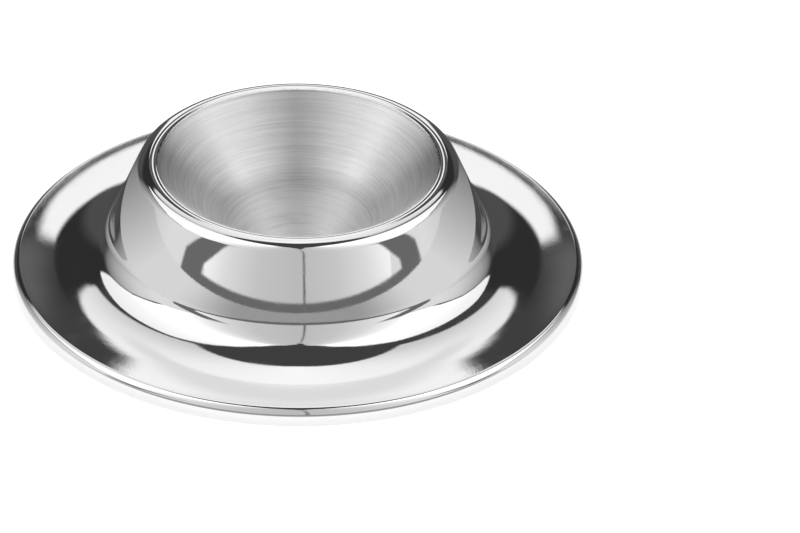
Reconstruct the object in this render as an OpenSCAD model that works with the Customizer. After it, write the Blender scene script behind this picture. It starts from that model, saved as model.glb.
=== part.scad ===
// Egg cup with a saucer brim: a polished sheet shell and a brushed egg well seated in its lip.
// Millimetres. Z is up, the axis of the cup is the Z axis, and the brim's cut edge rests on z = 0.

/* [Overall] */
// Diameter over the brim's edge
rim_d = 85; // [80:1:100]
// Height from the table to the crest of the lip
cup_h = 19.3; // [17:0.1:24]
// Diameter of the circle along the crest of the lip
lip_d = 44.2; // [38:0.2:48]

/* [Sheet] */
// Thickness of the shell's sheet
shell_t = 0.8; // [0.5:0.1:1]
// Thickness of the well's sheet
well_t = 0.6; // [0.4:0.1:0.9]

/* [Brim] */
// Height of the upright skirt below the rounded edge
skirt_h = 1.6; // [0.8:0.1:2.4]
// Inside radius of the bend from the brim down to the skirt
edge_bend_r = 0.4; // [0.2:0.1:1]
// Share of the way from the edge to the lip's crest that the plain brim covers
brim_share = 0.28; // [0.2:0.01:0.32]
// Fall of the brim along its flattest ring, in degrees
brim_slope = 5.5; // [2:0.5:6]
// Fall of the brim at its outer and inner end, in degrees
brim_end_slope = 7.5; // [6.5:0.5:10]
// Radius of the sweep from the brim up to the wall, as a share of the same way
sweep_share = 0.8; // [0.6:0.01:0.85]
// Width of the broken corner on the cut edge
cut_break = 0.1; // [0.05:0.05:0.2]

/* [Wall] */
// Slope at which the sweep tightens into the foot fillet, in degrees
root_slope = 32; // [28:1:40]
// Radius of the foot fillet, as a share of the way from the edge to the lip's crest
foot_share = 0.196; // [0.15:0.001:0.24]
// Bow radius of the wall, seen from the side
bow_r = 62; // [30:1:80]

/* [Lip] */
// Inside radius of the bend that rolls the wall over into the lip
lip_bend_r = 1.1; // [0.6:0.1:1.6]
// Inside radius of the bend that turns the lip down into the well
lip_turn_r = 0.3; // [0.2:0.1:0.6]

/* [Seat] */
// Length of the coined ledge that carries the well
ledge_l = 2.4; // [1.5:0.1:3.5]
// Gap between the ledge and the well
seat_gap = 0.05; // [0.02:0.01:0.1]
// Width of the fine line between the lip and the well's edge
joint_w = 0.08; // [0.04:0.02:0.2]

/* [Well] */
// Slope of the well's cone, in degrees
well_slope = 47; // [44:1:50]
// Height of the well's floor above the table
floor_h = 1.7; // [1.4:0.1:3]

/* [Hidden] */

// Turn of a bend that one straight piece of its outline covers, in degrees
arc_step = 4;
// Facets in a full circle
$fn = 180;

rim_r = rim_d / 2;
span = rim_r - lip_d / 2;
brim_w = brim_share * span;
sweep_r = sweep_share * span;
foot_r = foot_share * span;
edge_r = edge_bend_r + shell_t;
lip_r = lip_bend_r + shell_t;
turn_r = lip_turn_r + shell_t;

// Point at distance r from c in the direction a
function polar(c, r, a) = c + r * [cos(a), sin(a)];

// Points along an arc about c from the direction a0 to a1
function arc(c, r, a0, a1) =
    let (n = max(2, ceil(abs(a1 - a0) / arc_step)))
    [for (i = [0 : n]) polar(c, r, a0 + (a1 - a0) * i / n)];

// Direction from point p to point q
function heading(p, q) = atan2(q.y - p.y, q.x - p.x);

// Meeting point, on the side of the axis, of a circle about p and a circle about q
function circles_meet(p, rp, q, rq) =
    let (d = norm(q - p), along = (d * d + rp * rp - rq * rq) / (2 * d))
    polar(polar(p, along, heading(p, q)), sqrt(rp * rp - along * along), heading(p, q) + 90);

function reversed(list) = [for (i = [len(list) - 1 : -1 : 0]) list[i]];

// Centres of the bends, each tangent to its neighbours, from the edge of the brim inwards
edge_c = [rim_r - edge_r, skirt_h];
brim_bow_r = brim_w / 2 / (sin(brim_end_slope) - sin(brim_slope));
crown_c = polar(edge_c, brim_bow_r - edge_r, 270 - brim_end_slope);
ease_c = polar(crown_c, 2 * brim_bow_r, 90 - brim_slope);
sweep_c = polar(ease_c, brim_bow_r - sweep_r, 270 - brim_end_slope);
foot_c = polar(sweep_c, sweep_r - foot_r, 270 - root_slope);
lip_c = [lip_d / 2, cup_h - lip_r];
bow_c = circles_meet(foot_c, bow_r + foot_r, lip_c, bow_r - lip_r);
turn_c = [lip_d / 2, cup_h - turn_r];

// Directions in which the wall leaves the foot fillet and enters the lip
foot_turn = heading(bow_c, foot_c);
lip_turn = heading(bow_c, lip_c);

// The seat is laid out along the cone: s runs down it from the end of the lip, d into the sheet
seat_start = polar(turn_c, turn_r, 90 + well_slope);
function on_seat(s, d) = polar(polar(seat_start, s, 180 + well_slope), d, well_slope - 90);
ledge_depth = well_t + seat_gap;

// The well's cone would meet the axis at cone_tip; its rounded floor touches floor_h
well_edge = on_seat(joint_w, 0);
cone_tip = well_edge.y - well_edge.x * tan(well_slope);
floor_r = (floor_h - cone_tip) / (1 / cos(well_slope) - 1);
floor_c = [0, floor_h + floor_r];

// One face of the shell's sheet, inset from the outer face, from the cut edge to the seat
function shell_face(inset) = concat(
    [[rim_r - inset, cut_break]],
    arc(edge_c, edge_r - inset, 0, 90 - brim_end_slope),
    arc(crown_c, brim_bow_r - inset, 90 - brim_end_slope, 90 - brim_slope),
    arc(ease_c, brim_bow_r + inset, 270 - brim_slope, 270 - brim_end_slope),
    arc(sweep_c, sweep_r + inset, 270 - brim_end_slope, 270 - root_slope),
    arc(foot_c, foot_r + inset, 270 - root_slope, 180 + foot_turn),
    arc(bow_c, bow_r - inset, foot_turn, lip_turn),
    arc(lip_c, lip_r - inset, lip_turn, 90),
    arc(turn_c, turn_r - inset, 90, 90 + well_slope));

module cut_edge() {
    polygon([
        [rim_r - cut_break, 0],
        [rim_r, cut_break],
        [rim_r - shell_t, cut_break],
        [rim_r - shell_t + cut_break, 0]]);
}

// The lip's sheet is coined down by the well's thickness, so that the well lies flush in it
module ledge() {
    polygon([
        on_seat(0, shell_t / 2),
        on_seat(0, ledge_depth),
        on_seat(ledge_l, ledge_depth),
        on_seat(ledge_l, ledge_depth + shell_t),
        on_seat(-shell_t / 2, ledge_depth + shell_t),
        on_seat(-shell_t / 2, shell_t / 2)]);
}

// Brim, wall and rolled lip, pressed from one sheet
module saucer_shell() {
    color("silver")
    rotate_extrude() {
        polygon(concat(shell_face(0), reversed(shell_face(shell_t))));
        cut_edge();
        ledge();
    }
}

// Conical insert with a rounded floor, as thick on the slope as on the floor
module egg_well() {
    color("gainsboro")
    rotate_extrude()
    polygon(concat(
        [well_edge],
        arc(floor_c, floor_r, 270 + well_slope, 270),
        arc(floor_c, floor_r + well_t, 270, 270 + well_slope),
        [polar(well_edge, well_t, well_slope - 90)]));
}

saucer_shell();
egg_well();
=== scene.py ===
"""Looks of an egg cup with a saucer brim.

The mirror-polished shell is pressed from one sheet; the well in its lip is brushed in circles.
"""
from math import atan2, ceil, cos, hypot, pi, radians, sin, sqrt, tan

import bpy
from bpy.props import FloatProperty, FloatVectorProperty, IntProperty, PointerProperty
from bpy.types import Operator, Panel, PropertyGroup
from mathutils import Matrix, Vector


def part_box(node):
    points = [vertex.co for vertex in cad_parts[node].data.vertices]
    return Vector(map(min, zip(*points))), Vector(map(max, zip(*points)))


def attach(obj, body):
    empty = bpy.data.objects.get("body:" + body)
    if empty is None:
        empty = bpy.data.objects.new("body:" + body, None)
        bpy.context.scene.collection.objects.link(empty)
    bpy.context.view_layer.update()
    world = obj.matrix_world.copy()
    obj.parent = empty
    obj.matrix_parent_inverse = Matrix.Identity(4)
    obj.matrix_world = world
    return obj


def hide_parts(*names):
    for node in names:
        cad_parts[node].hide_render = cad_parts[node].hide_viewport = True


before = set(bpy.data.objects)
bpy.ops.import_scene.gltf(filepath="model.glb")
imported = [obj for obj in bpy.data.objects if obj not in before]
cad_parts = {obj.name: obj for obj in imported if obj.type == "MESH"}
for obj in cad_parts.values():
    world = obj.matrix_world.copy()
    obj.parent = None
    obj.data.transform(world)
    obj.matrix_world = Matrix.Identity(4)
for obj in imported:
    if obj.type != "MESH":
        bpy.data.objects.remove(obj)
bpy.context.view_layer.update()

bl_info = {
    "name": "Saucer Egg Cup",
    "version": (1, 0, 0),
    "blender": (4, 5, 0),
    "location": "3D View > Sidebar > Egg Cup",
    "description": "Presses the polished shell, seats the brushed well and sets up the studio",
    "category": "Object",
}

SHELL_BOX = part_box("saucer_shell")
MM = 0.001
# Grey of the polished steel, which the light panels allow for
STEEL_GREY = 0.84

# Directions in an outline, whose x runs out from the axis: up, in towards the axis, and down
QUARTER = pi / 2
UP, IN, DOWN = QUARTER, 2 * QUARTER, 3 * QUARTER
# Width of the broken corner on the shell's cut edge
CUT_BREAK = 0.1 * MM
# Radius of the well's upper edge, and the turn that one step round it covers
EDGE_ROLL, EDGE_STEP = 0.03 * MM, radians(15)
# Steps of the outline up the well's cone
CONE_STEPS = 12
# Points of an outline nearer than this, in metres, are one point
SAME_POINT = 1e-6
# Points of a turned sheet nearer than this, in metres, are welded
WELD_DISTANCE = 2e-7

# Radii between which the brim's grain sets in
GRAIN_FROM = (31 * MM, 36 * MM)
# Radii between which the well's duller floor and its painted sheen, a lighter tone that stands in
# for the floor's bright reflection, run out
FLOOR_TO = (8.5 * MM, 13.5 * MM)
# Radii between which the brushing runs out on the lip, how far it frays there, and the heights
# between which it sets in
FRAY_TO, FRAY_DEPTH, FRAY_ABOVE = (21.15 * MM, 21.4 * MM), 0.7 * MM, (16.5 * MM, 16.8 * MM)

# Width and height of the picture in pixels, and width of the camera's sensor in millimetres
PICTURE_W, PICTURE_H = 800, 533
SENSOR_W = 36
# Nearest and farthest distance that the camera sees, in metres
CAMERA_CLIP = (0.05, 20)
# Degrees in a radian
DEGREES = 180 / pi


# ---------------------------------------------------------------- sizes

class ShellSizes(PropertyGroup):
    """Sizes of the polished shell, from its edge to its lip and ledge"""
    rim_d: FloatProperty(
        name="Brim diameter",
        description="Diameter over the brim's edge",
        default=SHELL_BOX[1].x - SHELL_BOX[0].x, min=0.06, max=0.12, unit="LENGTH")
    cup_h: FloatProperty(
        name="Height",
        description="Height from the table to the crest of the lip",
        default=19.3 * MM, min=0.014, max=0.03, unit="LENGTH")
    lip_d: FloatProperty(
        name="Lip diameter",
        description="Diameter of the circle along the crest of the lip",
        default=43.26 * MM, min=0.036, max=0.05, unit="LENGTH")
    sheet_t: FloatProperty(
        name="Sheet",
        description="Thickness of the shell's sheet",
        default=0.8 * MM, min=0.0004, max=0.0012, unit="LENGTH")
    skirt_h: FloatProperty(
        name="Skirt",
        description="Height of the upright skirt below the rounded edge",
        default=1.6 * MM, min=0.0008, max=0.003, unit="LENGTH")
    edge_bend_r: FloatProperty(
        name="Edge bend",
        description="Inside radius of the bend from the brim down to the skirt",
        default=0.4 * MM, min=0.0002, max=0.001, unit="LENGTH")
    brim_slope: FloatProperty(
        name="Fall at the edge",
        description="Fall of the brim where it meets the edge bend",
        default=radians(6.3), min=0.0, max=radians(8), subtype="ANGLE")
    brim_share: FloatProperty(
        name="Brim bow",
        description="Bow radius of the plain brim, as a share of the way from edge to lip",
        default=5.59, min=2, max=20)
    ease_slope: FloatProperty(
        name="Fall at the ease",
        description="Fall of the brim where it eases up into the sweep",
        default=radians(8.7), min=radians(2), max=radians(12), subtype="ANGLE")
    ease_share: FloatProperty(
        name="Ease",
        description="Radius of the easing ring, as a share of the way from edge to lip",
        default=1.515, min=0.5, max=4)
    sweep_slope: FloatProperty(
        name="Sweep slope",
        description="Slope at which the easing ring tightens into the sweep",
        default=radians(13.0), min=radians(8), max=radians(25), subtype="ANGLE")
    sweep_share: FloatProperty(
        name="Sweep",
        description="Radius of the sweep up to the wall, as a share of the way from edge to lip",
        default=0.8625, min=0.5, max=0.9, subtype="FACTOR")
    root_slope: FloatProperty(
        name="Root slope",
        description="Slope at which the sweep tightens into the foot fillet",
        default=radians(28.9), min=radians(25), max=radians(45), subtype="ANGLE")
    foot_share: FloatProperty(
        name="Foot fillet",
        description="Radius of the foot fillet, as a share of the way from edge to lip",
        default=0.2035, min=0.1, max=0.25, subtype="FACTOR")
    toe_rise: FloatProperty(
        name="Toe rise",
        description="Lean of the sheet at which the foot fillet runs out into the toe",
        default=radians(17.5), min=radians(15), max=radians(30), subtype="ANGLE")
    toe_share: FloatProperty(
        name="Toe",
        description="Radius of the toe below the wall, as a share of the way from edge to lip",
        default=0.771, min=0.1, max=1.5)
    bow_r: FloatProperty(
        name="Wall bow",
        description="Bow radius of the wall, seen from the side",
        default=49.4 * MM, min=0.03, max=0.09, unit="LENGTH")
    lip_bend_r: FloatProperty(
        name="Lip bend",
        description="Inside radius of the bend that rolls the wall over into the lip",
        default=2.25 * MM, min=0.0005, max=0.004, unit="LENGTH")
    neck_bend_r: FloatProperty(
        name="Neck bend",
        description="Inside radius of the bend between the lip and the wall",
        default=0.477 * MM, min=0.0002, max=0.004, unit="LENGTH")
    neck_slope: FloatProperty(
        name="Neck slope",
        description="Slope of the lip's outside at which the neck bend begins",
        default=radians(40.6), min=radians(20), max=radians(60), subtype="ANGLE")
    lip_fall: FloatProperty(
        name="Lip fall",
        description="Slope of the lip's inside at which it turns sharply down into the well",
        default=radians(16), min=radians(5), max=radians(30), subtype="ANGLE")
    lip_turn_r: FloatProperty(
        name="Lip turn",
        description="Outside radius of the sharp turn down into the well",
        default=0.15 * MM, min=0.00005, max=0.0008, unit="LENGTH")
    ledge_l: FloatProperty(
        name="Ledge",
        description="Length of the coined ledge that carries the well",
        default=2.4 * MM, min=0.001, max=0.004, unit="LENGTH")


class WellSizes(PropertyGroup):
    """Sizes of the brushed well and of its seat"""
    sheet_t: FloatProperty(
        name="Sheet",
        description="Thickness of the well's sheet",
        default=0.6 * MM, min=0.0003, max=0.001, unit="LENGTH")
    seat_gap: FloatProperty(
        name="Seat gap",
        description="Gap between the ledge and the well",
        default=0.05 * MM, min=0.0, max=0.0002, unit="LENGTH")
    joint_w: FloatProperty(
        name="Joint",
        description="Width of the fine line between the lip and the well's edge",
        default=0.03 * MM, min=0.0, max=0.0003, unit="LENGTH")
    slope: FloatProperty(
        name="Cone",
        description="Slope of the well's cone",
        default=radians(47), min=radians(40), max=radians(55), subtype="ANGLE")
    floor_h: FloatProperty(
        name="Floor height",
        description="Height of the well's floor above the table",
        default=1.7 * MM, min=0.001, max=0.004, unit="LENGTH")


class TurnedMesh(PropertyGroup):
    """Fineness of the revolved meshes"""
    turn_steps: IntProperty(
        name="Steps round",
        description="Steps of the revolved sheet in a full turn",
        default=360, min=48, max=720)
    bend_step: FloatProperty(
        name="Step in a bend",
        description="Turn that one step of a bend covers",
        default=radians(2.0), min=radians(0.5), max=radians(8), subtype="ANGLE")


class SteelLooks(PropertyGroup):
    """Polish of the shell and brushing of the well"""
    polish_tint: FloatVectorProperty(
        name="Polished steel",
        description="Colour of the mirror-polished steel",
        default=(STEEL_GREY, STEEL_GREY, STEEL_GREY), min=0, max=1, subtype="COLOR")
    polish_rough: FloatProperty(
        name="Polish roughness",
        description="Roughness of the polished steel",
        default=0.03, min=0, max=1, subtype="FACTOR")
    polish_cloud: FloatProperty(
        name="Polish cloud",
        description="How much duller the polish is in its cloudy patches",
        default=0.05, min=0, max=0.5, subtype="FACTOR")
    polish_wave: FloatProperty(
        name="Polishing wave",
        description="Depth of the faint waves that polishing leaves in the sheet",
        default=0.000004, min=0, max=0.0001, precision=7, unit="LENGTH")
    polish_drag: FloatProperty(
        name="Polishing drag",
        description="Depth of the polishing wheel's fine drag lines",
        default=0.0000015, min=0, max=0.0001, precision=7, unit="LENGTH")
    polish_grain: FloatProperty(
        name="Polishing grain",
        description="Depth of the fine grain on the brim",
        default=0.0000012, min=0, max=0.0001, precision=7, unit="LENGTH")
    brush_tone: FloatProperty(
        name="Brushed steel",
        description="Tone of the brushed steel",
        default=0.86, min=0, max=1, subtype="FACTOR")
    brush_rough: FloatProperty(
        name="Brush roughness",
        description="Roughness of the brushed steel",
        default=0.40, min=0, max=1, subtype="FACTOR")
    brush_uneven: FloatProperty(
        name="Brush unevenness",
        description="How far the broad strokes change the roughness either way",
        default=0.03, min=0, max=0.2, subtype="FACTOR")
    floor_dull: FloatProperty(
        name="Floor dullness",
        description="How much rougher the well's floor is than its cone",
        default=0.42, min=0, max=0.6, subtype="FACTOR")
    stroke_dark: FloatProperty(
        name="Dark strokes",
        description="Tone of the darkest strokes, as a share of the brushed steel's tone",
        default=0.84, min=0, max=1, subtype="FACTOR")
    stroke_bright: FloatProperty(
        name="Bright strokes",
        description="Tone of the brightest strokes, as a share of the brushed steel's tone",
        default=1.10, min=1, max=1.2, subtype="FACTOR")
    brush_depth: FloatProperty(
        name="Brush depth",
        description="Depth of the brush strokes",
        default=0.0000015, min=0, max=0.0001, precision=7, unit="LENGTH")
    brush_pull: FloatProperty(
        name="Brush pull",
        description="How far the brushing draws reflections out across its strokes",
        default=1.0, min=0, max=1, subtype="FACTOR")


class StudioSettings(PropertyGroup):
    """Place and view of the camera"""
    camera_rise: FloatProperty(
        name="Camera elevation",
        description="Elevation of the camera above the table",
        default=radians(32.0), min=0, max=radians(89), subtype="ANGLE")
    camera_far: FloatProperty(
        name="Camera distance",
        description="Distance from the camera to the cup's axis",
        default=2.0, min=0.2, max=5, unit="LENGTH")
    camera_roll: FloatProperty(
        name="Camera roll",
        description="Turn of the camera about its view",
        default=0.010, min=-0.2, max=0.2, subtype="ANGLE")
    scale: FloatProperty(
        name="Scale",
        description="Pixels per millimetre at the axis in a picture 800 pixels wide",
        default=6.7165, min=1, max=20)
    axis_u: FloatProperty(
        name="Axis across",
        description="Place of the axis across the picture, in pixels from the left",
        default=297.8, min=0, max=800)
    axis_v: FloatProperty(
        name="Axis down",
        description="Place of the brim's plane on the axis, in pixels from the top",
        default=264.0, min=0, max=533)


SETTINGS = (
    ("eggcup_shell", ShellSizes), ("eggcup_well", WellSizes), ("eggcup_mesh", TurnedMesh),
    ("eggcup_steel", SteelLooks), ("eggcup_studio", StudioSettings))


# ---------------------------------------------------------------- outlines

def polar(centre, r, turn):
    """Point at distance r from centre in the direction turn."""
    return Vector((centre[0] + r * cos(turn), centre[1] + r * sin(turn)))


def bend(centre, r, start, end, step):
    """Points along a bend about centre from one direction to another."""
    count = max(3, ceil(abs(end - start) / step))
    return [polar(centre, r, start + (end - start) * k / count) for k in range(count + 1)]


def heading(start, end):
    """Direction from one point to another."""
    return atan2(end[1] - start[1], end[0] - start[0])


def circles_meet(p, rp, q, rq):
    """Meeting point, on the side of the axis, of a circle about p and a circle about q."""
    gap = hypot(q[0] - p[0], q[1] - p[1])
    along = (gap * gap + rp * rp - rq * rq) / (2 * gap)
    foot = polar(p, along, heading(p, q))
    return polar(foot, sqrt(rp * rp - along * along), heading(p, q) + QUARTER)


class Pressing:
    """Centres and radii of the bends from the brim's edge to the well's seat.

    Each bend is tangent to the next one. The radii are those of the sheet's outer face.
    """

    def __init__(self, shell, well):
        self.shell, self.well = shell, well
        self.rim_r, crest_r = shell.rim_d / 2, shell.lip_d / 2
        span = self.rim_r - crest_r
        self.edge_r = shell.edge_bend_r + shell.sheet_t
        self.brim_r, self.ease_r = shell.brim_share * span, shell.ease_share * span
        self.sweep_r, self.foot_r = shell.sweep_share * span, shell.foot_share * span
        self.toe_r, self.bow_r = shell.toe_share * span, shell.bow_r
        self.neck_r = shell.neck_bend_r + shell.sheet_t
        self.lip_r, self.turn_r = shell.lip_bend_r + shell.sheet_t, shell.lip_turn_r

        self.edge_c = Vector((self.rim_r - self.edge_r, shell.skirt_h))
        self.brim_c = polar(self.edge_c, self.edge_r + self.brim_r, UP - shell.brim_slope)
        self.ease_c = polar(self.brim_c, self.brim_r - self.ease_r, DOWN - shell.ease_slope)
        self.sweep_c = polar(self.ease_c, self.ease_r - self.sweep_r, DOWN - shell.sweep_slope)
        self.foot_c = polar(self.sweep_c, self.sweep_r - self.foot_r, DOWN - shell.root_slope)
        self.toe_c = polar(self.foot_c, self.toe_r - self.foot_r, shell.toe_rise)
        self.lip_c = Vector((crest_r, shell.cup_h - self.lip_r))
        self.neck_c = polar(self.lip_c, self.lip_r - self.neck_r, UP - shell.neck_slope)
        self.bow_c = circles_meet(
            self.toe_c, self.bow_r + self.toe_r, self.neck_c, self.bow_r - self.neck_r)
        self.toe_turn = heading(self.bow_c, self.toe_c)
        self.neck_turn = heading(self.bow_c, self.neck_c)
        self.turn_c = polar(self.lip_c, self.lip_r - self.turn_r, UP + shell.lip_fall)

        self.seat_start = polar(self.turn_c, self.turn_r, UP + well.slope)
        self.well_edge = self.on_seat(well.joint_w, 0)
        # The cone would meet the axis at this height; the rounded floor touches floor_h
        cone_tip = self.well_edge.y - self.well_edge.x * tan(well.slope)
        self.floor_r = (well.floor_h - cone_tip) / (1 / cos(well.slope) - 1)
        self.floor_c = Vector((0, well.floor_h + self.floor_r))

    def on_seat(self, down, deep):
        """Point down the cone from the end of the lip, and deep into the sheet."""
        slope = self.well.slope
        return polar(polar(self.seat_start, down, IN + slope), deep, slope - QUARTER)

    def shell_face(self, inset, step):
        """One face of the shell's sheet from the foot of the skirt to the end of the lip."""
        shell = self.shell
        brim, ease = DOWN - shell.brim_slope, DOWN - shell.ease_slope
        sweep, root = DOWN - shell.sweep_slope, DOWN - shell.root_slope
        # Centre, radius, first and last direction of each bend, and how much finer its steps are
        bends = [
            (self.edge_c, self.edge_r - inset, 0, UP - shell.brim_slope, 1),
            (self.brim_c, self.brim_r + inset, brim, ease, 4),
            (self.ease_c, self.ease_r + inset, ease, sweep, 4),
            (self.sweep_c, self.sweep_r + inset, sweep, root, 2),
            (self.foot_c, self.foot_r + inset, root, IN + shell.toe_rise, 1),
            (self.toe_c, self.toe_r + inset, IN + shell.toe_rise, IN + self.toe_turn, 4),
            (self.bow_c, self.bow_r - inset, self.toe_turn, self.neck_turn, 3),
            (self.neck_c, self.neck_r - inset, self.neck_turn, UP - shell.neck_slope, 1),
            (self.lip_c, self.lip_r - inset, UP - shell.neck_slope, UP + shell.lip_fall, 1)]
        if inset < self.turn_r:
            bends.append(
                (self.turn_c, self.turn_r - inset, UP + shell.lip_fall, UP + self.well.slope, 1))
        face = [Vector((self.rim_r - inset, CUT_BREAK))]
        for centre, r, start, end, finer in bends:
            run = bend(centre, r, start, end, step / finer)
            face += [p for p in run if (p - face[-1]).length > SAME_POINT]
        return face

    def shell_outline(self, step):
        """The shell's sheet as one outline, with the ledge coined into its lip."""
        sheet, depth = self.shell.sheet_t, self.well.sheet_t + self.well.seat_gap
        length = self.shell.ledge_l
        ledge = [
            self.on_seat(0, depth), self.on_seat(length, depth),
            self.on_seat(length, depth + sheet), self.on_seat(0, depth + sheet)]
        cut = [Vector((self.rim_r - sheet + CUT_BREAK, 0)), Vector((self.rim_r - CUT_BREAK, 0))]
        # The face underneath ends where it meets the ledge
        top, end = self.shell_face(0, step), ledge[-1]
        under = [p for p in self.shell_face(sheet, 2 * step) if p.y < end.y or p.x > end.x]
        return top + ledge + under[::-1] + cut

    def well_outline(self, step):
        """The well's sheet from the middle of its floor to its edge and back underneath."""
        slope, sheet, edge = self.well.slope, self.well.sheet_t, self.well_edge
        top = bend(self.floor_c, self.floor_r, DOWN, DOWN + slope, step)
        under = bend(self.floor_c, self.floor_r + sheet, DOWN, DOWN + slope, 2 * step)
        top[0].x = under[0].x = 0
        cone = [top[-1].lerp(edge, k / CONE_STEPS) for k in range(1, CONE_STEPS)]
        corner = polar(polar(edge, EDGE_ROLL, IN + slope), EDGE_ROLL, slope - QUARTER)
        brow = bend(corner, EDGE_ROLL, UP + slope, slope, EDGE_STEP)
        return top + cone + brow + [polar(edge, sheet, slope - QUARTER)] + under[::-1]


# ---------------------------------------------------------------- nodes

class Nodes:
    """Adds nodes to one tree and feeds their inputs as they are made."""

    def __init__(self, tree):
        self.tree = tree

    def add(self, kind, inputs=(), **settings):
        """A new node with its settings, whose inputs are fed by name or by number."""
        node = self.tree.nodes.new(kind)
        for key, value in settings.items():
            setattr(node, key, value)
        for key, value in dict(inputs).items():
            self.feed(node.inputs[key], value)
        return node

    def feed(self, socket, value):
        """Feeds a socket from another socket or sets it to a plain value."""
        if isinstance(value, bpy.types.NodeSocket):
            self.tree.links.new(value, socket)
        else:
            socket.default_value = value

    def calc(self, operation, *values):
        """Result of a Math node."""
        return self.add("ShaderNodeMath", enumerate(values), operation=operation).outputs[0]

    def plus(self, value, other):
        """Sum of two values."""
        return self.calc("ADD", value, other)

    def minus(self, value, other):
        """The first value less the second."""
        return self.calc("SUBTRACT", value, other)

    def times(self, total, *values):
        """Product of any number of values."""
        for value in values:
            total = self.calc("MULTIPLY", total, value)
        return total

    def size(self, value):
        """The value without its sign."""
        return self.calc("ABSOLUTE", value)

    def bearing(self, x, y):
        """Azimuth in degrees: 0 behind the cup, 90 on its right and +-180 in front."""
        return self.times(self.calc("ARCTAN2", x, y), DEGREES)

    def rise(self, value, low, high, smooth=True):
        """0 below low and 1 above high, with a smooth or an even step between them."""
        kind = "SMOOTHSTEP" if smooth else "LINEAR"
        node = self.add("ShaderNodeMapRange", {
            "Value": value, "From Min": low, "From Max": high, "To Min": 0.0, "To Max": 1.0},
            interpolation_type=kind)
        return node.outputs[0]

    def fall(self, value, low, high):
        """1 below low and 0 above high, with a smooth step between them."""
        return self.minus(1.0, self.rise(value, low, high))

    def over(self, under, mask, level):
        """Lays a level over what is there where the mask is 1."""
        return self.plus(self.times(under, self.minus(1.0, mask)), self.times(mask, level))

    def camera_sees(self, seen, mirrored):
        """Shader that shows one shader to the camera and another to every other ray."""
        rays = self.add("ShaderNodeLightPath").outputs["Is Camera Ray"]
        shaders = {0: rays, 1: mirrored.outputs[0], 2: seen.outputs[0]}
        return self.add("ShaderNodeMixShader", shaders).outputs[0]


def fresh_material(name):
    """An empty material, its nodes and the socket that takes its surface."""
    material = bpy.data.materials.new(name)
    material.use_nodes = True
    material.node_tree.nodes.clear()
    nodes = Nodes(material.node_tree)
    return material, nodes, nodes.add("ShaderNodeOutputMaterial").inputs["Surface"]


# ---------------------------------------------------------------- revolved sheet

def revolve_tree():
    """Geometry Nodes that turn an outline in the XZ plane about Z and close its seam and poles."""
    tree = bpy.data.node_groups.get("Revolve outline")
    if tree:
        return tree
    tree = bpy.data.node_groups.new("Revolve outline", "GeometryNodeTree")
    face = {
        name: tree.interface.new_socket(name, in_out=way, socket_type="NodeSocket" + kind)
        for name, way, kind in (
            ("Outline", "INPUT", "Geometry"), ("Steps round", "INPUT", "Int"),
            ("Weld distance", "INPUT", "Float"), ("Finish", "INPUT", "Material"),
            ("Geometry", "OUTPUT", "Geometry"))}
    face["Steps round"].default_value, face["Steps round"].min_value = 360, 3
    face["Weld distance"].default_value = WELD_DISTANCE

    nodes = Nodes(tree)
    given = nodes.add("NodeGroupInput").outputs
    outline, steps = given["Outline"], given["Steps round"]
    count = nodes.add("GeometryNodeAttributeDomainSize", {"Geometry": outline}, component="MESH")
    rows = nodes.plus(steps, 1.0)
    grid = nodes.add("GeometryNodeMeshGrid", {
        "Vertices X": count.outputs["Point Count"], "Vertices Y": rows})
    index = nodes.add("GeometryNodeInputIndex").outputs[0]
    column = nodes.calc("FLOOR", nodes.calc("DIVIDE", nodes.plus(index, 0.5), rows))
    row = nodes.minus(index, nodes.times(column, rows))
    turn = nodes.times(nodes.calc("DIVIDE", row, steps), 2 * pi)
    position = nodes.add("GeometryNodeInputPosition").outputs[0]
    sample = nodes.add(
        "GeometryNodeSampleIndex", {"Geometry": outline, "Value": position, "Index": column},
        data_type="FLOAT_VECTOR", domain="POINT")
    spin = nodes.add(
        "ShaderNodeVectorRotate", {"Vector": sample.outputs[0], "Angle": turn},
        rotation_type="Z_AXIS")
    place = nodes.add("GeometryNodeSetPosition", {
        "Geometry": grid.outputs["Mesh"], "Position": spin.outputs[0]})
    close = nodes.add("GeometryNodeMergeByDistance", {
        "Geometry": place.outputs[0], "Distance": given["Weld distance"]})
    smooth = nodes.add("GeometryNodeSetShadeSmooth", {"Geometry": close.outputs[0]})
    real = nodes.add("GeometryNodeRealizeInstances", {"Geometry": smooth.outputs[0]})
    finish = nodes.add("GeometryNodeSetMaterial", {
        "Geometry": real.outputs[0], "Material": given["Finish"]})
    nodes.add("NodeGroupOutput", {"Geometry": finish.outputs[0]})
    return tree


def turned_sheet(name, outline, material, steps):
    """Revolves an outline into a plain, closed mesh whose faces point outwards."""
    if len(outline) < 3:
        raise RuntimeError(f"{name} has no outline to turn")
    wires = bpy.data.meshes.new(name + "_outline")
    edges = [(k, k + 1) for k in range(len(outline) - 1)]
    wires.from_pydata([(p.x, 0, p.y) for p in outline], edges, [])
    former = bpy.data.objects.new(name + "_former", wires)
    bpy.context.scene.collection.objects.link(former)
    tree = revolve_tree()
    lathe = former.modifiers.new("Revolve", "NODES")
    lathe.node_group = tree
    names = {
        item.name: item.identifier for item in tree.interface.items_tree if item.in_out == "INPUT"}
    lathe[names["Steps round"]] = steps
    lathe[names["Finish"]] = material
    bpy.context.view_layer.update()
    seen = former.evaluated_get(bpy.context.evaluated_depsgraph_get())
    mesh = bpy.data.meshes.new_from_object(seen)
    bpy.data.objects.remove(former)
    bpy.data.meshes.remove(wires)
    mesh.name = name
    if volume(mesh) < 0:
        mesh.flip_normals()
    if not mesh.materials:
        mesh.materials.append(material)
    piece = bpy.data.objects.new(name, mesh)
    bpy.context.scene.collection.objects.link(piece)
    return piece


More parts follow.
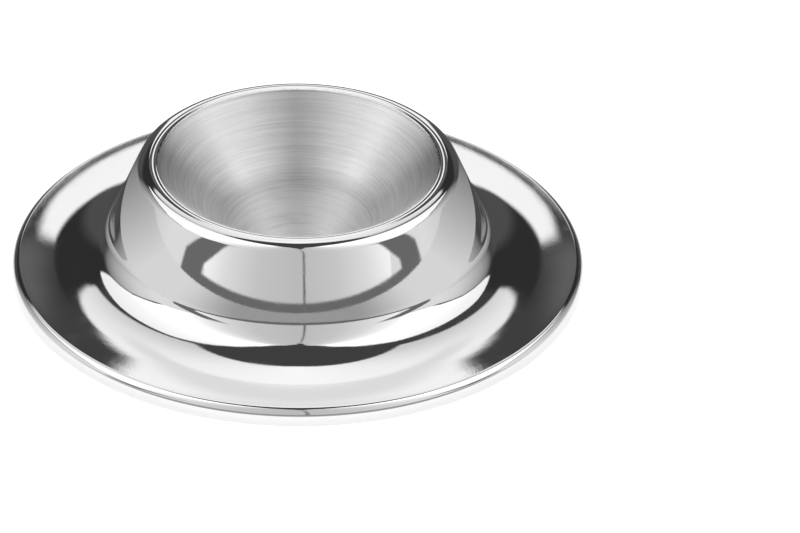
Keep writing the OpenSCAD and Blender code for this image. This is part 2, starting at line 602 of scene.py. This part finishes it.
def volume(mesh):
    """Signed volume inside a closed mesh, positive where its faces point outwards."""
    total = 0.0
    for face in mesh.polygons:
        points = [mesh.vertices[k].co for k in face.vertices]
        for b, c in zip(points[1:], points[2:]):
            total += points[0].dot(b.cross(c))
    return total / 6


# ---------------------------------------------------------------- finishes

def object_place(nodes):
    """Coordinates x, y and z in the object, and the distance from its axis."""
    place = nodes.add("ShaderNodeTexCoord").outputs["Object"]
    x, y, z = nodes.add("ShaderNodeSeparateXYZ", {0: place}).outputs
    return x, y, z, nodes.calc("SQRT", nodes.plus(nodes.times(x, x), nodes.times(y, y)))


def lathe_place(nodes, around, along, lean):
    """Place for a pattern on a turned sheet: scaled by around round the axis, by along across it."""
    x, y, z, far = object_place(nodes)
    # Keeps the divisions off zero at the axis
    safe = nodes.calc("MAXIMUM", far, 0.1 * MM)
    profile = nodes.plus(far, nodes.times(z, lean))
    return nodes.add("ShaderNodeCombineXYZ", {
        0: nodes.times(nodes.calc("DIVIDE", x, safe), around),
        1: nodes.times(nodes.calc("DIVIDE", y, safe), around),
        2: nodes.times(profile, along)}).outputs[0]


def grain(nodes, place, scale, detail, rough):
    """Cloudy noise between 0 and 1."""
    return nodes.add("ShaderNodeTexNoise", {
        "Vector": place, "Scale": scale, "Detail": detail, "Roughness": rough}).outputs[0]


def strokes(nodes, around, along, detail, rough):
    """Noise drawn out into strokes round the axis of a cone."""
    return grain(nodes, lathe_place(nodes, around, along, lean=1.0), 1.0, detail, rough)


def dented(nodes, height, depth, below=None):
    """Normal of a surface whose fine relief is height times depth, in metres."""
    node = nodes.add("ShaderNodeBump", {"Strength": 1.0, "Distance": depth, "Height": height})
    if below:
        nodes.feed(node.inputs["Normal"], below)
    return node.outputs[0]


def mixed_grey(nodes, low, high, share):
    """Grey between two levels as a colour."""
    level = nodes.plus(low, nodes.times(share, high - low))
    return nodes.add("ShaderNodeCombineColor", {0: level, 1: level, 2: level}).outputs[0]


def brushing(nodes, looks):
    """Steel brushed in circles: long fine strokes round the axis, with a few deeper ones, and a
    painted sheen that lightens the tone of the well's floor.
    """
    far = object_place(nodes)[-1]
    fine = strokes(nodes, around=1.6, along=6500.0, detail=3.0, rough=0.6)
    broad = strokes(nodes, around=0.9, along=1100.0, detail=2.0, rough=0.6)
    deep = strokes(nodes, around=5.0, along=5200.0, detail=1.0, rough=0.5)
    floor = nodes.fall(far, *FLOOR_TO)
    # Tone: fine and broad strokes together, with a few light scratches; the floor's share adds a
    # painted sheen, a lighter tone standing in for the bright reflection there
    share = nodes.plus(nodes.times(fine, 0.6), nodes.times(broad, 0.4))
    bright = nodes.plus(nodes.rise(share, 0.36, 0.64), nodes.times(floor, 0.6))
    bright = nodes.calc("MINIMUM", bright, 1.1)
    scratch = nodes.times(nodes.rise(deep, 0.66, 0.74), 0.12)
    dark, light = looks.brush_tone * looks.stroke_dark, looks.brush_tone * looks.stroke_bright
    streaks_and_floor_sheen = mixed_grey(nodes, dark, light, nodes.plus(bright, scratch))
    # Roughness: uneven with the broad strokes, and duller on the floor
    uneven = nodes.times(nodes.rise(broad, 0.3, 0.7), 2 * looks.brush_uneven)
    dull = nodes.plus(looks.brush_rough - looks.brush_uneven, uneven)
    dull = nodes.plus(dull, nodes.times(floor, looks.floor_dull))
    height = nodes.plus(fine, nodes.times(nodes.rise(deep, 0.62, 0.75), 0.8))
    tangent = nodes.add("ShaderNodeTangent", direction_type="RADIAL", axis="Z")
    return nodes.add("ShaderNodeBsdfPrincipled", {
        "Base Color": streaks_and_floor_sheen, "Metallic": 1.0, "Roughness": dull,
        "Normal": dented(nodes, height, looks.brush_depth), "Tangent": tangent.outputs[0],
        "Anisotropic": looks.brush_pull, "Anisotropic Rotation": 0.25}).outputs[0]


def polishing(nodes, looks):
    """Mirror polish: faint waves, the drag of the polishing wheel and a fine grain on the brim."""
    spot = nodes.add("ShaderNodeTexCoord").outputs["Object"]
    far = object_place(nodes)[-1]
    wave = grain(nodes, spot, scale=90.0, detail=2.0, rough=0.5)
    cloud = grain(nodes, spot, scale=260.0, detail=3.0, rough=0.6)
    speck = grain(nodes, spot, scale=5200.0, detail=1.0, rough=0.5)
    wheel = lathe_place(nodes, around=1.0, along=12.0, lean=-1.0)
    drag = grain(nodes, wheel, scale=110.0, detail=3.0, rough=0.7)
    brim = nodes.plus(0.15, nodes.rise(far, *GRAIN_FROM))
    normal = dented(nodes, wave, looks.polish_wave)
    normal = dented(nodes, drag, looks.polish_drag, normal)
    normal = dented(nodes, nodes.times(speck, brim), looks.polish_grain, normal)
    clouded = nodes.times(nodes.rise(cloud, 0.45, 0.8), looks.polish_cloud)
    return nodes.add("ShaderNodeBsdfPrincipled", {
        "Base Color": (*looks.polish_tint, 1), "Metallic": 1.0, "Normal": normal,
        "Roughness": nodes.plus(looks.polish_rough, clouded)}).outputs[0]


def polished_steel(looks):
    """Mirror polish, over which the well's brushing frays at the inner end of the lip."""
    material, nodes, surface = fresh_material("polished_steel")
    _, _, height, far = object_place(nodes)
    fray = strokes(nodes, around=60.0, along=500.0, detail=3.0, rough=0.7)
    frayed = nodes.plus(far, nodes.times(fray, FRAY_DEPTH))
    inside = nodes.times(nodes.fall(frayed, *FRAY_TO), nodes.rise(height, *FRAY_ABOVE))
    mix = nodes.add("ShaderNodeMixShader", {
        0: inside, 1: polishing(nodes, looks), 2: brushing(nodes, looks)})
    nodes.feed(surface, mix.outputs[0])
    return material


def brushed_steel(looks):
    """Steel of the well, brushed in circles all over, with a painted sheen on its floor."""
    material, nodes, surface = fresh_material("brushed_steel")
    nodes.feed(surface, brushing(nodes, looks))
    return material


# ---------------------------------------------------------------- pieces

def press_shell(scene):
    """The polished shell, one closed sheet."""
    shell, well, mesh = scene.eggcup_shell, scene.eggcup_well, scene.eggcup_mesh
    outline = Pressing(shell, well).shell_outline(mesh.bend_step)
    outline.append(outline[0])
    steel = polished_steel(scene.eggcup_steel)
    piece = turned_sheet("shell_pressing", outline, steel, mesh.turn_steps)
    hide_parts("saucer_shell")
    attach(piece, "root")


def seat_well(scene):
    """The brushed well on the ledge inside the lip; its outline begins and ends on the axis."""
    shell, well, mesh = scene.eggcup_shell, scene.eggcup_well, scene.eggcup_mesh
    outline = Pressing(shell, well).well_outline(mesh.bend_step)
    steel = brushed_steel(scene.eggcup_steel)
    piece = turned_sheet("well_insert", outline, steel, mesh.turn_steps)
    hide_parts("egg_well")
    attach(piece, "root")


# ---------------------------------------------------------------- studio light

# Greys of the room's plain patches, as they are seen on the polished steel
ROOM_GREY, LOW_GREY, DUSK_GREY, HAZE_GREY, LIT_GREY = 0.24, 0.17, 0.29, 0.38, 0.95
FRAME_GREY, SEAM_GREY = 0.40, 0.42
# Level of the light in the duller fold across the overhead panel
FOLD_LEVEL = 0.84
# Half the overhead panel's width in degrees where it begins, that lift, and its widening per degree
OVERHEAD_HALF, OVERHEAD_FROM, OVERHEAD_WIDENS = 31.0, 37.0, 0.42
# Azimuth of the joint between the two front panels
SEAM_AT = 176.0
# Turn of the front frames to the left; the lift above which the posts lean, and the lean per degree
FRAME_SWAY, POST_FROM, POST_LEAN = 3.0, 6.0, 1.2
# Softness in degrees: of the panels' feet, of the overhead panel's lower and upper edge, of its
# sides and the other panels' tops, and of the upper end of what glimmers
FOOT_SOFT, OVERHEAD_SOFT, TOP_SOFT, GLEAM_SOFT = 0.6, 0.9, 1.2, 0.7
# Highest value that each skyline can reach: degrees of lift, or a level of light
LIFT_TOP, DIM_TOP, BRIGHT_TOP = 90.0, 1.2, 1.6


def both_sides(*points):
    """An edge that is the same on the left and on the right, from its points on the right."""
    return tuple((-turn, height) for turn, height in points[::-1] if turn) + points


# Skylines of the room: pairs of an azimuth and a lift, both in degrees, or of an azimuth and a level
# of light. Azimuth 0 is behind the cup, 90 on its right and +-180 in front.
PANEL_TOP = (
    (-180, 79), (-165, 82), (-150, 84), (-90, 83), (-75, 81), (-60, 76), (-50, 69), (-43, 60),
    (-38, 45), (-35, 30), (-34, 0), (36, 0), (38, 30), (41, 42), (47, 54), (53, 66), (62, 75),
    (75, 81), (90, 83), (150, 84), (165, 82), (173, 76), (180, 74))
PANEL_FOOT = both_sides(
    (37, 30), (50, 34), (62, 35.5), (75, 33), (85, 30), (90, 27), (95, 24), (104, 22), (115, 18),
    (122, 0), (180, 0))
PANEL_LEVEL = (
    (-180, 0.58), (-155, 0.64), (-135, 0.82), (-118, 1.1), (-104, 1.45), (-80, 1.5), (-60, 1.2),
    (-40, 1.02), (40, 1.02), (60, 1.2), (80, 1.5), (104, 1.45), (118, 1.1), (135, 0.84),
    (155, 0.66), (180, 0.58))
WING_TOP = both_sides(
    (37, 28.5), (50, 32.5), (62, 34), (75, 31), (85, 27), (90, 24.5), (95, 24), (104, 22),
    (115, 18), (122, 0), (180, 0))
WING_LEVEL = both_sides(
    (38, 0.1), (45, 0.26), (52, 0.41), (60, 0.53), (68, 0.65), (76, 0.74), (90, 0.84),
    (120, 0.82), (180, 0.62))
OVERHEAD_TOP = both_sides((0, 68), (45, 64), (180, 64))
OVERHEAD_FOOT = both_sides(
    (0, 36.5), (6, 38.5), (8.0, 41.5), (9.2, 44.8), (10.6, 42.6), (13.3, 40.8), (18, 37.3),
    (25, 36), (180, 36))
OVERHEAD_LEVEL = both_sides((0, 1.12), (12, 1.02), (36, 0.7), (180, 0.7))
GLEAM_TOP = both_sides(
    (0, 16.7), (2, 17.3), (3.9, 18.9), (6.3, 21.8), (8.4, 25.8), (9.8, 28.2), (11, 28.5),
    (180, 28.5))


def shown(grey):
    """Level of light that the polished steel shows as a grey, by the picture's tone curve."""
    return ((grey + 0.055) / 1.055) ** 2.4 / STEEL_GREY


class Room(Nodes):
    """Level of the light by direction, laid up patch by patch; all angles are in degrees."""

    def __init__(self, tree):
        super().__init__(tree)
        direction = self.add("ShaderNodeTexCoord").outputs["Generated"]
        x, y, z = self.add("ShaderNodeSeparateXYZ", {0: direction}).outputs
        self.lift = self.times(self.calc("ARCSINE", z), DEGREES)
        self.azimuth = self.bearing(x, y)
        self.aside = self.size(self.azimuth)
        self.level = shown(ROOM_GREY)

    def up(self, low, high):
        """Mask that sets in with the lift."""
        return self.rise(self.lift, low, high)

    def down(self, low, high):
        """Mask that runs out with the lift."""
        return self.fall(self.lift, low, high)

    def beyond(self, low, high):
        """Mask that sets in to both sides, away from what is behind the cup."""
        return self.rise(self.aside, low, high)

    def within(self, low, high):
        """Mask that runs out to both sides."""
        return self.fall(self.aside, low, high)

    def above(self, edge, soft):
        """Mask over an edge, softened to either side of it."""
        return self.rise(self.minus(self.lift, edge), -soft, soft)

    def below(self, edge, soft):
        """Mask under an edge, softened to either side of it."""
        return self.fall(self.minus(self.lift, edge), -soft, soft)

    def skyline(self, points, top=LIFT_TOP):
        """A broken line over the azimuth from -180 to 180, with values from 0 to top."""
        share = self.calc("DIVIDE", self.plus(self.azimuth, 180.0), 360.0)
        node = self.add("ShaderNodeFloatCurve", {"Value": share})
        curve = node.mapping.curves[0]
        places = [((turn + 180) / 360, height / top) for turn, height in points]
        curve.points[0].location, curve.points[-1].location = places[0], places[-1]
        for place in places[1:-1]:
            curve.points.new(*place)
        for point in curve.points:
            point.handle_type = "VECTOR"
        node.mapping.update()
        return self.times(node.outputs[0], top)

    def lay(self, level, *masks):
        """Lays a level over what is there where all the masks are 1."""
        self.level = self.over(self.level, self.times(*masks), level)


def dark_room(room):
    """The unlit part of the room behind the cup, and what glimmers in it."""
    # The darkest part, low down
    room.lay(shown(LOW_GREY), room.below(OVERHEAD_FROM, 2), room.up(-25, 10))
    # Dusk over the far end of the table
    room.lay(shown(DUSK_GREY), room.within(30, 50), room.up(-12, 6), room.down(14, 22))
    # A haze on both sides of the bright strip
    haze = room.times(room.beyond(3, 8), room.within(9, 14))
    room.lay(shown(HAZE_GREY), haze, room.up(27, 31), room.down(34, 39))
    # The pale far end of the room, and the bright strip from there up to the overhead panel
    gleam = room.below(room.skyline(GLEAM_TOP), GLEAM_SOFT)
    room.lay(shown(LIT_GREY), room.within(11, 12.5), room.up(1, 4), gleam)
    room.lay(shown(LIT_GREY), room.within(1.8, 3.2), room.up(22, 26), room.below(40.0, GLEAM_SOFT))


def overhead_panel(room):
    """The panel over the cup, which widens upwards and has a duller fold across it."""
    widening = room.times(room.minus(room.lift, OVERHEAD_FROM), OVERHEAD_WIDENS)
    half = room.plus(OVERHEAD_HALF, widening)
    panel = room.times(
        room.above(room.skyline(OVERHEAD_FOOT), OVERHEAD_SOFT),
        room.below(room.skyline(OVERHEAD_TOP), OVERHEAD_SOFT),
        room.fall(room.minus(room.aside, half), -TOP_SOFT, TOP_SOFT))
    room.lay(room.skyline(OVERHEAD_LEVEL, DIM_TOP), panel)
    room.lay(FOLD_LEVEL, panel, room.within(14, 22), room.up(44, 47), room.down(48.5, 51))


def side_panels(room):
    """The panels on both sides and in front, the lower wings under them and the frames between."""
    foot, wing = room.skyline(PANEL_FOOT), room.skyline(WING_TOP)
    room.lay(room.skyline(WING_LEVEL, DIM_TOP), room.beyond(36, 44), room.below(wing, FOOT_SOFT))
    top = room.below(room.skyline(PANEL_TOP), TOP_SOFT)
    room.lay(room.skyline(PANEL_LEVEL, BRIGHT_TOP), room.above(foot, FOOT_SOFT), top)
    # The gap between a wing and the panel over it
    gap = room.times(
        room.below(foot, FOOT_SOFT), room.above(wing, FOOT_SOFT), room.beyond(38, 44),
        room.within(91, 95))
    # The leaning posts on both sides of the front, and the sill between them
    swayed = room.size(room.plus(room.azimuth, FRAME_SWAY))
    leaning = room.calc("MAXIMUM", room.minus(room.lift, POST_FROM), 0.0)
    upright = room.minus(swayed, room.times(leaning, POST_LEAN))
    floor = room.up(-2.6, -1.8)
    post = room.times(
        room.rise(upright, 100, 102), room.fall(upright, 115, 117), floor, room.down(19, 26))
    sill = room.times(room.below(3.0, FOOT_SOFT), room.rise(swayed, 111, 113), floor)
    frames = room.calc("MAXIMUM", room.calc("MAXIMUM", gap, post), sill)
    room.lay(shown(FRAME_GREY), frames)


def front_seam(room):
    """The fine joint between the two front panels."""
    joint = room.fall(room.size(room.minus(room.azimuth, SEAM_AT)), 0.5, 0.9)
    room.lay(shown(SEAM_GREY), joint, room.up(-1, 0), room.down(72, 76))


def studio_light(world):
    """Light panels and the dark gaps between them, by direction; the camera sees plain white."""
    world.use_nodes = True
    world.node_tree.nodes.clear()
    room = Room(world.node_tree)
    for lay_out in (dark_room, overhead_panel, side_panels, front_seam):
        lay_out(room)
    studio = room.add("ShaderNodeBackground", {"Color": room.level})
    plain = room.add("ShaderNodeBackground", {"Color": (1, 1, 1, 1)})
    room.add("ShaderNodeOutputWorld", {"Surface": room.camera_sees(plain, studio)})


# ---------------------------------------------------------------- table and camera

# Radius of the table, its drop below the cup and the number of its sides
TABLE_R, TABLE_DROP, TABLE_SIDES = 1.5, 0.02 * MM, 96
# Radii between which the painted pool of light, a paler ring on the table close to the brim, runs
# out
NEAR_TO = (45.5 * MM, 48 * MM)
# Painted light and shade on the table as the steel mirrors it, as tones: at the sides, in front,
# behind the cup and near it
SIDE_TONE, FRONT_TONE, BACK_TONE, NEAR_PAINTED_LIGHT = 0.65, 0.30, 0.08, 0.95
# Grey and glow of the table as the camera sees it, and the glow of its painted tone as the steel
# mirrors it, which is painted light
TABLE_GREY, TABLE_GLOW, PAINTED_GLOW = 0.9, 0.55, 0.4


def table_painted_light_and_shade(nodes):
    """Painted light and shade of the table as the steel mirrors it: a tone by its place round the
    cup, dark behind and in front, paler at the sides, with a painted pool of light near the brim at
    the sides and in front.
    """
    x, y, _, far = object_place(nodes)
    aside = nodes.size(nodes.bearing(x, y))
    side = nodes.times(nodes.rise(aside, 22, 92, smooth=False), SIDE_TONE)
    tone = nodes.over(side, nodes.rise(aside, 112, 150), FRONT_TONE)
    tone = nodes.over(tone, nodes.fall(aside, 34, 46), BACK_TONE)
    # Painted pool of light: a pale ring on the table close to the brim
    near = nodes.times(nodes.fall(far, *NEAR_TO), nodes.rise(aside, 50, 75))
    return nodes.over(tone, near, NEAR_PAINTED_LIGHT)


def glowing(nodes, colour, strength):
    """A matt shader that also gives off some light of its own."""
    matt = nodes.add("ShaderNodeBsdfDiffuse", {"Color": colour})
    glow = nodes.add("ShaderNodeEmission", {"Strength": strength})
    return nodes.add("ShaderNodeAddShader", {0: matt.outputs[0], 1: glow.outputs[0]})


def table_top():
    """A matt table: the camera sees it white with the cup's shadow, the steel mirrors its painted
    light and shade, which glows with it.
    """
    material, nodes, surface = fresh_material("pale_table")
    tone = table_painted_light_and_shade(nodes)
    seen = glowing(nodes, (TABLE_GREY, TABLE_GREY, TABLE_GREY, 1), TABLE_GLOW)
    # What the steel mirrors glows with the painted tone: painted light
    mirrored = glowing(nodes, tone, nodes.times(tone, PAINTED_GLOW))
    nodes.feed(surface, nodes.camera_sees(seen, mirrored))
    turns = [2 * pi * k / TABLE_SIDES for k in range(TABLE_SIDES)]
    ring = [(TABLE_R * cos(turn), TABLE_R * sin(turn), -TABLE_DROP) for turn in turns]
    mesh = bpy.data.meshes.new("table_top")
    mesh.from_pydata(ring, [], [tuple(range(TABLE_SIDES))])
    mesh.materials.append(material)
    table = bpy.data.objects.new("table_top", mesh)
    bpy.context.scene.collection.objects.link(table)


def camera_at(scene, studio, skirt_h):
    """Camera that puts the axis and the brim's plane where the picture has them."""
    elevation, far = studio.camera_rise, studio.camera_far
    view = Vector((0, cos(elevation), -sin(elevation)))
    up, right = Vector((0, sin(elevation), cos(elevation))), Vector((1, 0, 0))
    mark = Vector((0, 0, skirt_h))
    spot = mark - view * far
    across = (PICTURE_W / 2 - studio.axis_u) / studio.scale * MM
    down = (PICTURE_H / 2 - studio.axis_v) / studio.scale * MM
    data = bpy.data.cameras.new("camera")
    data.sensor_width = SENSOR_W
    data.lens = SENSOR_W * studio.scale * far / MM / PICTURE_W
    data.clip_start, data.clip_end = CAMERA_CLIP
    camera = bpy.data.objects.new("camera", data)
    camera.location = spot
    turn = (mark + right * across - up * down - spot).to_track_quat("-Z", "Y").to_matrix()
    camera.rotation_euler = (turn @ Matrix.Rotation(studio.camera_roll, 3, "Z")).to_euler()
    scene.collection.objects.link(camera)
    scene.camera = camera


# ---------------------------------------------------------------- operators and panel

class EGGCUP_OT_shell(Operator):
    """Press the polished shell"""
    bl_idname = "eggcup.press_shell"
    bl_label = "Press the shell"

    def execute(self, context):
        press_shell(context.scene)
        return {"FINISHED"}


class EGGCUP_OT_well(Operator):
    """Seat the brushed well in the lip"""
    bl_idname = "eggcup.seat_well"
    bl_label = "Seat the well"

    def execute(self, context):
        seat_well(context.scene)
        return {"FINISHED"}


class EGGCUP_OT_studio(Operator):
    """Lay the table and set the studio light and the camera"""
    bl_idname = "eggcup.set_studio"
    bl_label = "Set the studio"

    def execute(self, context):
        scene = context.scene
        scene.view_settings.view_transform = "Standard"
        if scene.world is None:
            scene.world = bpy.data.worlds.new("studio")
        studio_light(scene.world)
        table_top()
        camera_at(scene, scene.eggcup_studio, scene.eggcup_shell.skirt_h)
        return {"FINISHED"}


class EGGCUP_PT_panel(Panel):
    """Sizes, steel and studio of the egg cup"""
    bl_idname = "EGGCUP_PT_panel"
    bl_label = "Saucer egg cup"
    bl_space_type = "VIEW_3D"
    bl_region_type = "UI"
    bl_category = "Egg Cup"

    def draw(self, context):
        layout = self.layout
        for maker in OPERATORS:
            layout.operator(maker.bl_idname)
        for key, group in SETTINGS:
            box = layout.box()
            for name in group.__annotations__:
                box.prop(getattr(context.scene, key), name)


OPERATORS = (EGGCUP_OT_shell, EGGCUP_OT_well, EGGCUP_OT_studio)
CLASSES = (*(group for _, group in SETTINGS), *OPERATORS, EGGCUP_PT_panel)


def register():
    """Registers the classes and gives the scene its settings."""
    for cls in CLASSES:
        bpy.utils.register_class(cls)
    for key, group in SETTINGS:
        setattr(bpy.types.Scene, key, PointerProperty(type=group))


def unregister():
    """Takes the settings and the classes away again."""
    for key, _ in SETTINGS:
        delattr(bpy.types.Scene, key)
    for cls in reversed(CLASSES):
        bpy.utils.unregister_class(cls)


def main():
    """Builds the cup and its studio."""
    register()
    bpy.ops.eggcup.press_shell()
    bpy.ops.eggcup.seat_well()
    bpy.ops.eggcup.set_studio()


if __name__ == "__main__":
    main()
